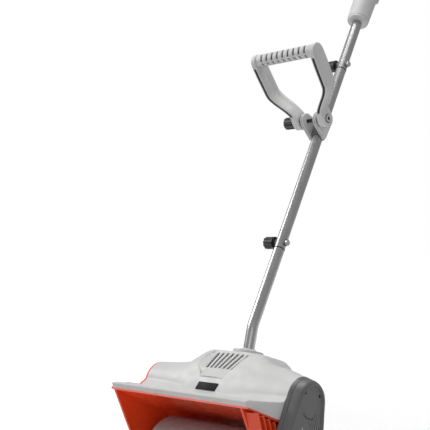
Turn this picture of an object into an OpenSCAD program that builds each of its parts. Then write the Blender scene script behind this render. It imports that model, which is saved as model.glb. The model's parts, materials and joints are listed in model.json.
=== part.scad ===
// Cordless snow blower of the power-shovel type: a belt-driven rotor in a scoop, a bent tube in
// three sections, an adjustable front handle and a rear handle with trigger and battery.
// The origin is on the ground under the scraper. The mouth faces -Y and the handle rises to +Y.

/* [Head] */
// Width of the scoop mouth over the front lip
mouth_w = 340; // [320:1:380]
// Height of the underside of the front lip
lip_z = 220; // [215:1:225]
// Wall thickness of the moulded covers
shell_t = 3; // [2.4:0.2:3.6]
// Outer radius of the rotor paddles
rotor_r = 60; // [54:1:63]
// Outer radius of the round shoulder over the motor
shoulder_r = 40; // [38:0.5:42]
// Number of vent slots in the hump
vent_count = 7; // [3:1:7]

/* [Drive] */
// Radius of the motor can
motor_r = 22; // [18:1:25]
// Running radius of the small pulley on the motor
motor_pulley_r = 9; // [7:0.5:11]
// Running radius of the large pulley on the rotor
rotor_pulley_r = 45; // [38:1:48]
// Radius of the rotor shaft
rotor_shaft_r = 5; // [4:0.5:6]

/* [Tube] */
// Outer radius of the tube
tube_r = 11; // [10:0.5:12.5]
// Wall thickness of the tube
tube_t = 1.5; // [1.2:0.1:2]
// Angle between the lower stub and the vertical
stub_tilt = 33; // [31:0.5:35]
// Angle between the long tube and the vertical
tube_tilt = 46.4; // [44:0.1:49]
// Distance from the bend to the lower joint
joint1_s = 168; // [150:1:190]
// Distance from the bend to the upper joint
joint2_s = 613; // [600:1:640]
// Distance from the bend to the rim of the rear handle
rim_s = 745; // [730:1:760]

/* [Front handle] */
// Distance of the handle pivot from the bend, along the tube
pivot_s = 457; // [400:1:480]
// Distance of the handle pivot from the tube's axis
pivot_n = 32; // [30:1:36]
// Lean of the front handle from the vertical
handle_tilt = 17.5; // [5:0.5:35]
// Distance from the pivot to the grip bar
grip_h = 150; // [140:1:160]
// Half width of the front handle at the grip, to the middle of an arm
arm_x = 76; // [62:1:80]
// Number of dark bands on the grip bar
band_count = 9; // [5:1:9]

/* [Rear handle] */
// Width of the rear handle's grip
grip_w = 36; // [32:1:40]
// Length of the battery
battery_l = 112; // [106:1:118]
// Width of the battery
battery_w = 76; // [74:1:84]
// Thickness of the battery
battery_t = 36; // [32:1:40]

/* [Hidden] */
$fn = 64;

// Side view places, as [y, z]
lip_y = -70;
lip_h = 9;
motor_c = [47, 178];
rotor_c = [-23, 82];
scoop_r = rotor_r + 9;
valley = [-3, 197.6];
seat_c = [135.5, 219.9];
back_y = motor_c[0] + shoulder_r;
part_z = 150;

// Places across the width
half_w = mouth_w / 2;
wall_l = half_w - 10;
wall_r = half_w - 17;
wall_t = 5;
end_x = half_w + 15;
hump_x = [-87, 114];
crest_x = [-52, 66];

// Rotor
drum_r = 15;
disc_r = 30;
disc_x = [-98, -1.5, 95];
blade_t = 4;
barrel_x = 99;
barrel_end_r = 28;

// Clearances
gap = 0.2;
run = 0.05;
free = 0.4;

// Tube
stub_l = 50;
bend_c = [seat_c[0] + stub_l * sin(stub_tilt), seat_c[1] + stub_l * cos(stub_tilt)];
stub_in = 38;
seat_drop = 6;
bore_r = tube_r - tube_t;
sleeve_bore = bore_r - 1;
bolt_r = 3;
bolt_up = 14;
tube_end_s = rim_s + 80;
cable_r = 2;
cable_off = 5.4;

// Front handle
pivot_r = 4;
ear_x = [8, 20];
eye_x = [24, 41];
arm_t = 11;
arm_front = -13;

// Rear handle, as distances from the bend
loop_s = 870;
dock_s = 1000;
battery_s = 1009;
battery_y = 6;

// Points of an arc about c, with end angles a0 and a1
function arc(c, r, a0, a1, n = 16) =
    [for (i = [0:n]) let (a = a0 + (a1 - a0) * i / n) [c[0] + r * cos(a), c[1] + r * sin(a)]];

// Angle at which a line from p touches the circle of radius r about c
function touch(p, c, r) =
    atan2(p[1] - c[1], p[0] - c[0]) - acos(r / norm(p - c));

// Smooth step from 0 to 1
function ease(t) = let (u = min(1, max(0, t))) u * u * (3 - 2 * u);

// Outline of the shoulder cover in the side view, lying t under its outside
function cover_line(t) = concat(
    [[lip_y + 4 + t * 1.3, lip_z + lip_h + 2 - t * 1.3]],
    [[valley[0], valley[1] - t * 1.08]],
    arc(motor_c, shoulder_r - t, 144, 0, 20),
    [[back_y - t, part_z]]
);

// Side view of the hump, and of its lower edge
function hump_high() = [
    [6, 197], [26.5, 214.6], [48, 230.6], [75, 236], [99.5, 236],
    [162, 195.5], [168, 186], [168, 170], [back_y - 10, part_z]
];
function hump_low() = [
    [16, 200], [30, 210], [60, 219], [100, 217],
    [150, 190], [160, 180], [160, 168], [back_y - 10, part_z]
];

// Extrudes a side view drawn as (y, z) from x0 to x1
module along_x(x0, x1) {
    translate([x0, 0, 0])
        rotate([90, 0, 90])
            linear_extrude(x1 - x0)
                children();
}

// A round bar along X
module bar_x(r, x0, x1) {
    translate([x0, 0, 0])
        rotate([0, 90, 0])
            cylinder(r = r, h = x1 - x0);
}

// A place in the side view
module at(c) {
    translate([0, c[0], c[1]])
        children();
}

// The frame of the lower stub, with +Z up the stub from the seat on the hump
module at_stub(s = 0) {
    at(seat_c)
        rotate([-stub_tilt, 0, 0])
            translate([0, 0, s])
                children();
}

// The frame of the long tube, with +Z up the tube and +Y towards its underside
module at_tube(s = 0) {
    at(bend_c)
        rotate([-tube_tilt, 0, 0])
            translate([0, 0, s])
                children();
}

// The frame of the front handle, with +Z from the pivot to the grip
module at_handle() {
    at_tube(pivot_s)
        translate([0, -pivot_n, 0])
            rotate([tube_tilt + handle_tilt, 0, 0])
                children();
}

// Outline that runs round two circles and the straight lines that touch both
module lobes(c1, r1, c2, r2) {
    axis_a = atan2(c2[1] - c1[1], c2[0] - c1[0]);
    side_a = acos((r1 - r2) / norm(c2 - c1));
    polygon(concat(
        arc(c1, r1, axis_a + side_a, axis_a + 360 - side_a, 24),
        arc(c2, r2, axis_a - side_a, axis_a + side_a, 32)
    ));
}

// Half space above the mitre plane of the bend
module above_bend() {
    at(bend_c)
        rotate([-(tube_tilt + stub_tilt) / 2, 0, 0])
            translate([-200, -200, 0])
                cube([400, 400, 1000]);
}

// A rod of radius r that follows the bent tube, off its axis by off towards the underside
module bent_rod(r, z0, s1, off = 0) {
    difference() {
        at_stub(z0)
            translate([0, off, 0])
                cylinder(r = r, h = stub_l + 10 - z0);
        above_bend();
    }
    intersection() {
        at_tube(-10)
            translate([0, off, 0])
                cylinder(r = r, h = s1 + 10);
        above_bend();
    }
}

// Knurled hand knob along X, from its face at x0 to its end at x1
module hand_knob(r, x0, x1, flutes, bore) {
    difference() {
        union() {
            bar_x(r * 0.72, x0 - 3, x0);
            bar_x(r, x1, x0 - 3);
        }
        for (i = [0:flutes - 1])
            rotate([360 / flutes * i, 0, 0])
                translate([0, r + 1, 0])
                    bar_x(2.2, x1 - 1, x0 - 5);
        bar_x(bore, x1 + 5, x0 + 1);
    }
}

/* ---- head ---- */

module scoop_shell() {
    inner_lip = [lip_y, lip_z - 4];
    outer_lip = [lip_y, lip_z];
    inner_a = touch(inner_lip, rotor_c, scoop_r);
    outer_a = touch(outer_lip, rotor_c, scoop_r + shell_t);
    color("orangered") {
        along_x(-wall_l + gap, wall_r - gap)
            polygon(concat(
                [inner_lip],
                arc(rotor_c, scoop_r, inner_a, -90, 24),
                [[-62, rotor_c[1] - scoop_r], [-62, rotor_c[1] - scoop_r - shell_t]],
                arc(rotor_c, scoop_r + shell_t, -90, outer_a, 24),
                [outer_lip]
            ));
        translate([-half_w, lip_y, lip_z - 4])
            cube([mouth_w, 6, 4]);
    }
}

// Side view of a side wall
module wall_outline() {
    polygon(concat(
        [[lip_y + 1, lip_z - 4 - gap], [-53, 82], [-54, 45], [-66, 16], [-72, 6], [-68, 0],
         [24, 0], [51.8, 14], [56.8, 40], [72.8, 100], [back_y - shell_t - gap, part_z]],
        arc(motor_c, shoulder_r - shell_t - gap, 0, 144, 20),
        [[valley[0], valley[1] - shell_t - 0.84], [-61.7, lip_z + 5.4], [-61.7, lip_z - 4 - gap]]
    ));
}

// Side wall with its bearing boss, with its inner face at x, on the side of positive x
module wall_plate(x) {
    difference() {
        union() {
            along_x(x, x + wall_t)
                wall_outline();
            at(rotor_c)
                bar_x(15, x - 4, x + wall_t);
        }
        at(rotor_c)
            bar_x(11, x - 3, x + wall_t + 1);
        at(rotor_c)
            bar_x(9, x - 5, x);
    }
}

module left_side_wall() {
    color("orangered") {
        mirror([1, 0, 0])
            wall_plate(wall_l);
        difference() {
            along_x(-half_w, -wall_l - wall_t)
                polygon(concat(
                    cover_line(0),
                    [[back_y - 5, part_z]],
                    arc(motor_c, shoulder_r - 5, 0, 144, 20),
                    [[valley[0], valley[1] - 5.4], [lip_y + 4, lip_z + lip_h - 4]]
                ));
            translate([-half_w - 1, -100, 100])
                cube([20, 66, 150]);
        }
    }
}

module right_side_wall() {
    rib_y = [-64, -53, -42, -31, -20];
    color("orangered")
        difference() {
            union() {
                wall_plate(wall_r);
                for (y = rib_y)
                    translate([wall_r + wall_t, y, 30])
                        cube([end_x - wall_r - wall_t - gap, 3, lip_z - 0.94 * (y - lip_y) - 38]);
            }
            at(motor_c)
                bar_x(11, wall_r - 1, wall_r + wall_t + 1);
            at(rotor_c)
                bar_x(9, wall_r + wall_t, end_x);
        }
}

module scraper_bar() {
    top_z = rotor_c[1] - scoop_r - shell_t;
    color("dimgray")
        difference() {
            along_x(-wall_l + gap, wall_r - gap)
                polygon([[-74, 4], [-70, 0], [14, 0], [14, top_z - gap], [-62 - gap, top_z - gap],
                         [-62 - gap, top_z + shell_t], [-66, top_z + shell_t]]);
            for (x = [-120, -40, 40, 120])
                translate([x, -40, -1]) {
                    cylinder(r = 5, h = 4);
                    cylinder(r = 2.2, h = 20);
                }
        }
}

module scraper_screws() {
    color("silver")
        for (x = [-120, -40, 40, 120])
            translate([x, -40, 0.5]) {
                cylinder(r = 4.6, h = 2.5);
                cylinder(r = 2.2, h = 8);
            }
}

// Solid of the hump, lying t under its outside
module hump_body(t) {
    hull() {
        along_x(hump_x[0] + t, hump_x[1] - t)
            offset(delta = -t)
                polygon(hump_low());
        along_x(crest_x[0] + t, crest_x[1] - t)
            offset(delta = -t)
                polygon(hump_high());
    }
}

module top_cover() {
    vent_pitch = 10.6;
    color("gainsboro")
        difference() {
            union() {
                along_x(-wall_l - wall_t + gap, end_x - gap)
                    polygon(concat(cover_line(0), [[lip_y + 8, lip_z]]));
                hump_body(0);
                translate([-half_w, lip_y, lip_z])
                    cube([mouth_w, 8, lip_h]);
            }
            // hollow under the cover
            along_x(-wall_l - wall_t, end_x + 1)
                polygon(concat(cover_line(shell_t), [[back_y - shell_t, 100], [-62, 100]]));
            intersection() {
                hump_body(shell_t);
                translate([-200, 0, part_z - 20])
                    cube([400, 300, 200]);
            }
            // below the parting line of the rear cover
            along_x(-200, 200)
                polygon([[-62, 100], [-62, lip_z], [20, 160], [back_y - 10, part_z],
                         [190, part_z + 25], [190, 100]]);
            // side of the hood, which widens from the lip to the belt case
            translate([0, 0, 100])
                linear_extrude(200)
                    polygon([[half_w, lip_y - 1], [end_x + 1, lip_y - 1], [end_x + 1, -8]]);
            translate([wall_r + wall_t, lip_y - 1, 100])
                cube([40, 72, 92]);
            for (i = [0:vent_count - 1])
                translate([(i - (vent_count - 1) / 2) * vent_pitch - 2, 50, 210])
                    cube([4, 47, 40]);
            at_stub(-20)
                cylinder(r = 17.5, h = 40);
        }
}

module rear_cover() {
    color("lightgray")
        difference() {
            union() {
                along_x(-wall_l - wall_t, end_x - gap)
                    polygon([[52, 12], [57, 40], [73, 100], [back_y - shell_t, part_z - gap],
                             [back_y, part_z - gap], [76, 100], [60, 40], [55, 12]]);
                along_x(hump_x[0], hump_x[1])
                    polygon([[75, 97], [120, 118], [156, 150], [167.5, 169], [back_y - 3, part_z - gap]]);
            }
            along_x(hump_x[0] + shell_t, hump_x[1] - shell_t)
                polygon([[76, 104], [118, 122], [152, 151], [162, 175], [74, 158]]);
        }
}

module badge_plate() {
    slope = atan2(valley[1] - lip_z - lip_h - 2, valley[0] - lip_y - 4);
    color("black")
        translate([0, 3, 205.4])
            rotate([slope, 0, 0])
                linear_extrude(1.2)
                    polygon([[-27, -6.5], [22, -6.5], [27, 6.5], [-22, 6.5]]);
}

module tube_socket() {
    color("gainsboro")
        difference() {
            union() {
                at_stub(gap - seat_drop)
                    cylinder(r = 29.5, h = 7);
                at_stub(0)
                    cylinder(r = 15, h = 4);
                at_stub(-stub_in - 4)
                    cylinder(r = 17, h = stub_in + 5);
            }
            at_stub(-stub_in)
                cylinder(r = tube_r, h = stub_in + 20);
            at_stub(-stub_in - 5)
                cylinder(r = bore_r, h = 8);
            for (a = [45:90:315])
                at_stub(-seat_drop - 1)
                    rotate([0, 0, a])
                        translate([22.5, 0, 0]) {
                            cylinder(r = 2, h = 10);
                            translate([0, 0, 6])
                                cylinder(r = 3.8, h = 4);
                        }
        }
}

module socket_screws() {
    color("silver")
        for (a = [45:90:315])
            at_stub(gap - seat_drop)
                rotate([0, 0, a])
                    translate([22.5, 0, 0]) {
                        cylinder(r = 2, h = 5);
                        translate([0, 0, 5 - gap])
                            cylinder(r = 3.6, h = 1.6);
                    }
}

/* ---- belt side ---- */

module belt_case() {
    color("dimgray")
        difference() {
            along_x(end_x, end_x + 8)
                lobes(motor_c, 36, rotor_c, 62);
            along_x(end_x + 3, end_x + 9)
                lobes(motor_c, 33, rotor_c, 59);
            at(motor_c)
                bar_x(12, end_x - 1, end_x + 4);
            at(rotor_c)
                bar_x(10, end_x - 1, end_x + 4);
        }
}

// Places of the belt cover's screws in the side view
function cover_screw_places() = [[36, 202], [70, 180], [-74, 68], [28, 64]];

module belt_cover() {
    color("dimgray")
        difference() {
            union() {
                along_x(end_x + 8 + gap, end_x + 22)
                    lobes(motor_c, 36, rotor_c, 62);
                along_x(end_x + 22, end_x + 25)
                    lobes(motor_c, 33.5, rotor_c, 59.5);
            }
            along_x(end_x + 7, end_x + 21)
                lobes(motor_c, 33, rotor_c, 59);
            along_x(end_x + 24, end_x + 26)
                lobes(motor_c, 27, rotor_c, 53);
            for (c = cover_screw_places())
                at(c)
                    bar_x(2.2, end_x + 10, end_x + 30);
        }
}

module cover_screws() {
    color("black")
        for (c = cover_screw_places())
            at(c)
                bar_x(2.2, end_x + 12, end_x + 23.5);
}

/* ---- drive ---- */

module motor_can() {
    color("dimgray")
        difference() {
            at(motor_c)
                bar_x(motor_r, 42, 102);
            at(motor_c)
                bar_x(motor_r - 2, 45, 103);
            at(motor_c)
                bar_x(4.5, 40, 50);
        }
}

module motor_end_bell() {
    color("silver")
        difference() {
            at(motor_c)
                bar_x(motor_r, 102, 112);
            at(motor_c)
                bar_x(4.5, 100, 114);
        }
}

module motor_mount() {
    color("lightgray")
        difference() {
            along_x(112, 118)
                union() {
                    translate(motor_c)
                        circle(motor_r + 6);
                    polygon([[30, 152], [20, 140], [72, 122], [74, 150], [72, 165]]);
                }
            at(motor_c)
                bar_x(9, 110, 120);
            for (a = [0:90:270])
                at(motor_c)
                    rotate([a, 0, 0])
                        translate([0, 16, 0])
                            bar_x(1.6, 110, 120);
        }
}

module motor_screws() {
    color("silver")
        for (a = [0:90:270])
            at(motor_c)
                rotate([a, 0, 0])
                    translate([0, 16, 0]) {
                        bar_x(1.6, 112, 118);
                        bar_x(3, 118, 120.5);
                    }
}

module motor_shaft() {
    color("silver")
        at(motor_c) {
            bar_x(4, 24, end_x + 19);
            bar_x(motor_r - 3, 54, 96);
        }
}

module motor_fan() {
    color("black")
        at(motor_c)
            difference() {
                union() {
                    bar_x(9, 26, 36);
                    for (a = [0:40:320])
                        rotate([a, 0, 0])
                            translate([27, 6, -1])
                                cube([8, 14, 2]);
                }
                bar_x(4, 20, 40);
            }
}

module shaft_bearing() {
    color("silver")
        at(motor_c)
            difference() {
                bar_x(11, wall_r - 1, wall_r + 6);
                bar_x(4 + run, wall_r - 2, wall_r + 8);
            }
}

module motor_pulley() {
    color("silver")
        at(motor_c)
            difference() {
                union() {
                    bar_x(motor_pulley_r, end_x + 5, end_x + 18);
                    bar_x(motor_pulley_r + 4, end_x + 4, end_x + 5.5);
                    bar_x(motor_pulley_r + 4, end_x + 17.5, end_x + 19);
                }
                bar_x(4, end_x, end_x + 22);
            }
}

module drive_belt() {
    color("black")
        difference() {
            along_x(end_x + 6.5, end_x + 16.5)
                lobes(motor_c, motor_pulley_r + 3, rotor_c, rotor_pulley_r + 3);
            along_x(end_x + 5, end_x + 18)
                lobes(motor_c, motor_pulley_r + 0.4, rotor_c, rotor_pulley_r + 0.4);
        }
}

module rotor_pulley() {
    color("silver")
        at(rotor_c)
            difference() {
                union() {
                    bar_x(rotor_pulley_r, end_x + 6, end_x + 17);
                    bar_x(rotor_pulley_r + 4, end_x + 5, end_x + 6);
                }
                bar_x(rotor_shaft_r, end_x, end_x + 30);
                for (a = [0:60:300])
                    rotate([a, 0, 0])
                        translate([0, 26, 0])
                            bar_x(9, end_x, end_x + 30);
            }
}

module pulley_nut() {
    color("silver")
        at(rotor_c)
            difference() {
                translate([end_x + 17, 0, 0])
                    rotate([0, 90, 0])
                        cylinder(r = 8.5, h = 3, $fn = 6);
                bar_x(rotor_shaft_r, end_x, end_x + 30);
            }
}

module rotor_shaft() {
    color("silver")
        at(rotor_c)
            bar_x(rotor_shaft_r, -wall_l - 4, end_x + 20);
}

module rotor_drum() {
    color("gray")
        at(rotor_c)
            difference() {
                union() {
                    bar_x(drum_r, -wall_l + 8, wall_r - 8);
                    for (x = disc_x)
                        bar_x(disc_r, x, x + 3);
                }
                bar_x(rotor_shaft_r, -wall_l, wall_r);
            }
}

// Outer radius of a paddle at share u of its section, and the share of its web
function paddle_r(u) = drum_r + 0.5 + (rotor_r - drum_r - 0.5) * sin(90 * web_share(u));
function web_share(u) = min(1, u / 0.35);

// Section of one paddle: a curved web from the drum that ends along the paddle circle
module paddle_section() {
    steps = 20;
    turn = 140;
    polygon(concat(
        [for (i = [0:steps]) let (u = i / steps, a = 5 + turn * u) paddle_r(u) * [cos(a), sin(a)]],
        [for (i = [steps:-1:0])
            let (u = i / steps, w = web_share(u), a = 5 + turn * u + 13 * (1 - w))
            (paddle_r(u) - blade_t * w) * [cos(a), sin(a)]]
    ));
}

// Body of revolution that tapers the paddles towards both walls
module rotor_barrel() {
    rotate([0, 90, 0])
        rotate_extrude()
            polygon([[0, -wall_l + 10], [barrel_end_r, -wall_l + 10], [rotor_r + 1, -barrel_x],
                     [rotor_r + 1, barrel_x], [barrel_end_r, wall_r - 8], [0, wall_r - 8]]);
}

module rotor_paddles() {
    color("gray")
        at(rotor_c)
            difference() {
                intersection() {
                    for (a = [0, 180])
                        rotate([a, 0, 0])
                            along_x(-wall_l + 9, wall_r - 7)
                                paddle_section();
                    rotor_barrel();
                }
                for (x = disc_x)
                    bar_x(disc_r + gap, x - gap, x + 3 + gap);
                bar_x(drum_r + gap, -wall_l, wall_r);
            }
}

module rotor_bearings() {
    color("silver")
        at(rotor_c)
            for (x = [-wall_l - 4.5, wall_r - 2.5])
                difference() {
                    bar_x(11, x, x + 7);
                    bar_x(rotor_shaft_r + run, x - 1, x + 8);
                }
}

/* ---- tube ---- */

module lower_tube() {
    color("silver")
        difference() {
            bent_rod(tube_r, -stub_in, joint1_s - 1);
            bent_rod(bore_r, -stub_in - 1, joint1_s);
        }
}

// Straight tube section with a cross hole for its joint bolt
module tube_section(s0, s1) {
    difference() {
        at_tube(s0 + 1)
            cylinder(r = tube_r, h = s1 - s0 - 2);
        at_tube(s0)
            cylinder(r = bore_r, h = s1 - s0);
        at_tube(s0 + bolt_up)
            bar_x(bolt_r, -20, 20);
    }
}

module middle_tube() {
    color("silver")
        tube_section(joint1_s, joint2_s);
}

module upper_tube() {
    color("silver")
        tube_section(joint2_s, tube_end_s);
}

module joint_sleeves() {
    color("gray")
        for (s = [joint1_s, joint2_s])
            difference() {
                at_tube(s - 30)
                    cylinder(r = bore_r, h = 60);
                at_tube(s - 31)
                    cylinder(r = sleeve_bore, h = 62);
                at_tube(s + bolt_up)
                    bar_x(bolt_r, -20, 20);
            }
}

module joint_rings() {
    color("black")
        for (s = [joint1_s, joint2_s])
            difference() {
                at_tube(s - 1)
                    cylinder(r = tube_r + 0.4, h = 2);
                at_tube(s - 2)
                    cylinder(r = bore_r, h = 4);
            }
}

module joint_saddles() {
    color("dimgray")
        for (s = [joint1_s, joint2_s])
            difference() {
                union() {
                    at_tube(s + bolt_up)
                        bar_x(7, -tube_r - 2, -5);
                    at_tube(s + bolt_up)
                        bar_x(7, 5, tube_r + 2);
                }
                at_tube(s)
                    cylinder(r = tube_r, h = 40);
                at_tube(s + bolt_up)
                    bar_x(bolt_r, -20, 20);
            }
}

module joint_bolts() {
    color("silver")
        for (s = [joint1_s, joint2_s])
            at_tube(s + bolt_up) {
                bar_x(bolt_r, -32, tube_r + 3);
                bar_x(6, tube_r + 2, tube_r + 6);
            }
}

module joint_knob(s) {
    at_tube(s + bolt_up)
        hand_knob(12.5, -tube_r - 2 - free, -38, 10, bolt_r + run);
}

module lower_joint_knob() {
    color("black")
        joint_knob(joint1_s);
}

module upper_joint_knob() {
    color("black")
        joint_knob(joint2_s);
}

module wiring_cable() {
    color("black")
        bent_rod(cable_r, -stub_in - 20, tube_end_s + 30, cable_off);
}

/* ---- front handle ---- */

// One half of the clamp, on the side of positive x
module clamp_half() {
    difference() {
        union() {
            intersection() {
                at_tube(pivot_s - 34)
                    cylinder(r = 19, h = 48);
                translate([0.4, 0, 0])
                    cube([60, 2000, 2000]);
            }
            at_tube(pivot_s)
                along_x(ear_x[0], ear_x[1])
                    lobes([-pivot_n, 0], 17, [2, -34], 12);
        }
        at_tube(pivot_s - 60)
            cylinder(r = 14, h = 120);
        at_handle()
            bar_x(pivot_r, 0, 30);
    }
}

module clamp_right() {
    color("gainsboro")
        clamp_half();
}

module clamp_left() {
    color("gainsboro")
        mirror([1, 0, 0])
            clamp_half();
}

module clamp_sleeve() {
    color("dimgray")
        difference() {
            at_tube(pivot_s - 38)
                cylinder(r = 14, h = 56);
            at_tube(pivot_s - 40)
                cylinder(r = tube_r + run, h = 60);
        }
}

module tooth_washers() {
    color("dimgray")
        at_handle()
            for (x = [-eye_x[0] + free, ear_x[1]])
                difference() {
                    bar_x(14, x, x + eye_x[0] - ear_x[1] - free);
                    bar_x(pivot_r, x - 1, x + 6);
                }
}

module pivot_bolt() {
    color("black")
        at_handle()
            difference() {
                union() {
                    bar_x(pivot_r, -54, eye_x[1] - 4);
                    bar_x(8, eye_x[1] - 5, eye_x[1] + 1);
                }
                translate([eye_x[1] - 2, 0, 0])
                    rotate([0, 90, 0])
                        cylinder(r = 4, h = 5, $fn = 6);
            }
}

module pivot_knob() {
    color("black")
        at_handle()
            hand_knob(13, -eye_x[1] - free, -68, 12, pivot_r + run);
}

// Middle line of an arm across the width, at height z over the pivot
function arm_mid(z) =
    let (e = (eye_x[0] + eye_x[1]) / 2, spread = arm_x - e)
    e + spread * (0.87 * ease((z - 12) / 66) + 0.13 * z / grip_h);

// Both arms as one closed outline in the handle's own side view
module arm_side() {
    circle(17);
    polygon([[-16, 6], [-17, 60], [-18, 120], [-17, grip_h + 2], [-8, grip_h + 14], [8, grip_h + 14],
             [18, grip_h], [20, 120], [20, 60], [16, 6]]);
}

// One arm, on the side of positive x
module arm_body() {
    steps = 20;
    reach = grip_h + 14;
    intersection() {
        rotate([90, 0, 0])
            translate([0, 0, -30])
                linear_extrude(60) {
                    polygon(concat(
                        [for (i = [0:steps]) [arm_mid(reach * i / steps) - arm_t / 2, reach * i / steps]],
                        [for (i = [steps:-1:0]) [arm_mid(reach * i / steps) + arm_t / 2, reach * i / steps]]
                    ));
                    translate([eye_x[0], -20])
                        square([eye_x[1] - eye_x[0], 38]);
                }
        along_x(0, 100)
            arm_side();
    }
}

module arm_front_zone() {
    translate([-120, arm_front - 20, 22])
        cube([240, 20, grip_h + 20]);
}

module front_handle_frame() {
    color("gainsboro")
        at_handle()
            difference() {
                union() {
                    difference() {
                        union() {
                            arm_body();
                            mirror([1, 0, 0])
                                arm_body();
                        }
                        arm_front_zone();
                    }
                    translate([0, 0, grip_h])
                        bar_x(13, -arm_x, arm_x);
                }
                bar_x(pivot_r + run, -60, 60);
                bar_x(8 + free, eye_x[1] - 5 - free, 60);
                for (i = [0:band_count - 1])
                    grip_band(i, 0);
            }
}

// Ring-shaped zone of band i on the grip bar, lying t under the bar's surface
module grip_band(i, t) {
    pitch = 12.4;
    x0 = (i - (band_count - 1) / 2) * pitch - 1.8;
    translate([0, 0, grip_h])
        difference() {
            bar_x(13.5 - t, x0, x0 + 3.6);
            bar_x(11, x0 - 1, x0 + 5);
        }
}

module front_grip_bands() {
    color("dimgray")
        at_handle()
            for (i = [0:band_count - 1])
                grip_band(i, 1);
}

module front_arm_trims() {
    color("dimgray")
        at_handle()
            difference() {
                intersection() {
                    union() {
                        arm_body();
                        mirror([1, 0, 0])
                            arm_body();
                    }
                    arm_front_zone();
                }
                translate([0, 0, grip_h])
                    bar_x(13.2, -arm_x, arm_x);
            }
}

/* ---- rear handle ---- */

// Outline of the rear handle in the tube's side view, as [towards the underside, along]
function loop_outer() = [
    [-24, rim_s + 70], [-28, loop_s - 15], [-42, loop_s + 10], [-44, 960], [-48, 985],
    [-50, dock_s], [62, dock_s], [64, 960], [62, loop_s + 25], [50, loop_s], [28, loop_s - 20],
    [24, rim_s + 70]
];
function loop_inner() = [
    [-8, loop_s + 18], [-9, 966], [-2, 976], [34, 976], [45, 966], [46, loop_s + 32],
    [36, loop_s + 14], [4, loop_s + 8]
];

// One shell of the rear handle, on the side of positive x
module rear_shell() {
    w = grip_w / 2;
    difference() {
        union() {
            at_tube()
                along_x(0, w)
                    difference() {
                        polygon(loop_outer());
                        polygon(loop_inner());
                    }
            intersection() {
                at_tube(rim_s + 8)
                    cylinder(r1 = 24, r2 = 27, h = 106);
                translate([0, 0, 0])
                    cube([60, 2000, 2000]);
            }
            at_tube()
                along_x(0, battery_w / 2 + 3)
                    polygon([[-50, dock_s - 8], [-50, battery_s - 1], [62, battery_s - 1], [62, dock_s - 8]]);
            at_tube()
                along_x(battery_w / 2 + free, battery_w / 2 + 3)
                    polygon([[-50, battery_s - 2], [-50, battery_s + 8], [62, battery_s + 8], [62, battery_s - 2]]);
        }
        // hollow of the neck, the grip and the lower strut
        at_tube(rim_s)
            cylinder(r = 20.5, h = 100);
        at_tube()
            along_x(-1, w - shell_t)
                polygon([[-21, rim_s + 78], [-25, loop_s - 12], [-39, loop_s + 12], [-41, 960], [-44, 982],
                         [-44, 988], [-12, 988], [-12, loop_s + 12], [0, loop_s], [21, loop_s - 14],
                         [20, rim_s + 78]]);
        at_tube()
            along_x(-1, w - shell_t)
                polygon([[50, loop_s + 34], [49, 972], [30, 981], [30, 988], [56, 988], [60, 960],
                         [58, loop_s + 34]]);
        // slot for the trigger, hole for the lock-off button
        at_tube()
            along_x(-7, 7)
                polygon([[-14, loop_s + 16], [-2, loop_s + 16], [-2, 936], [-14, 936]]);
        // slot of the terminal block
        at_tube()
            along_x(-14, 14)
                polygon([[-10, 980], [-10, 1012], [18, 1012], [18, 980]]);
    }
}

// Places of the shell screws in the tube's side view
function shell_screw_places() = [[-34, loop_s + 12], [55, 950]];

module rear_shell_right() {
    color("gainsboro")
        difference() {
            rear_shell();
            for (c = shell_screw_places())
                at_tube(c[1])
                    translate([0, c[0], 0])
                        bar_x(2, grip_w / 2 - 2, grip_w / 2 + 1);
        }
}

module rear_shell_left() {
    color("gainsboro")
        difference() {
            mirror([1, 0, 0])
                rear_shell();
            at_tube(950)
                translate([0, -26, 0])
                    bar_x(7 + free, -30, -5);
        }
}

module neck_collar() {
    color("gainsboro")
        difference() {
            union() {
                at_tube(rim_s)
                    cylinder(r1 = 21.5, r2 = 23.5, h = 3);
                at_tube(rim_s + 3)
                    cylinder(r = 23.5, h = 5 - gap);
                at_tube(rim_s + 3)
                    cylinder(r = 20.4, h = 40);
            }
            at_tube(rim_s - 1)
                cylinder(r = tube_r, h = 60);
        }
}

module shell_screws() {
    color("silver")
        at_tube()
            for (c = shell_screw_places())
                translate([0, c[0], c[1]])
                    bar_x(2, grip_w / 2 - 2, grip_w / 2 + 0.6);
}

module trigger() {
    color("black")
        at_tube()
            difference() {
                along_x(-6, 6)
                    polygon([[-20, 893], [-2, 893], [5, 903], [2, 918], [-5, 932], [-16, 932], [-22, 926]]);
                translate([0, -15, 926])
                    bar_x(2 + run, -10, 10);
            }
}

module trigger_pin() {
    color("silver")
        at_tube()
            translate([0, -15, 926])
                bar_x(2, -grip_w / 2 + shell_t, grip_w / 2 - shell_t);
}

module trigger_spring() {
    color("silver")
        at_tube()
            for (i = [0:3])
                translate([0, -15, 926])
                    difference() {
                        bar_x(2.9, 7 + i * 1.4, 8.2 + i * 1.4);
                        bar_x(2.1, 6, 15);
                    }
}

module switch_module() {
    color("black")
        at_tube()
            translate([-8, -38.6, 893])
                cube([16, 10, 26]);
}

module lock_off_button() {
    color("black")
        at_tube(950)
            translate([0, -26, 0]) {
                bar_x(7, -grip_w / 2 - 4, -8);
            }
}

module terminal_block() {
    color("black")
        at_tube()
            along_x(-13.6, 13.6)
                polygon([[-9.6, 984], [-9.6, 1008.6], [17.6, 1008.6], [17.6, 984]]);
}

module battery_case() {
    y0 = battery_y - battery_l / 2;
    color("white")
        at_tube()
            difference() {
                translate([-battery_w / 2, y0, battery_s])
                    cube([battery_w, battery_l, battery_t]);
                translate([-battery_w / 2 + 2, y0 + 2, battery_s + 2])
                    cube([battery_w - 4, battery_l - 4, battery_t - 4]);
                translate([-8, y0 - 1, battery_s + 8])
                    cube([16, 4, 16]);
            }
}

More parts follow.
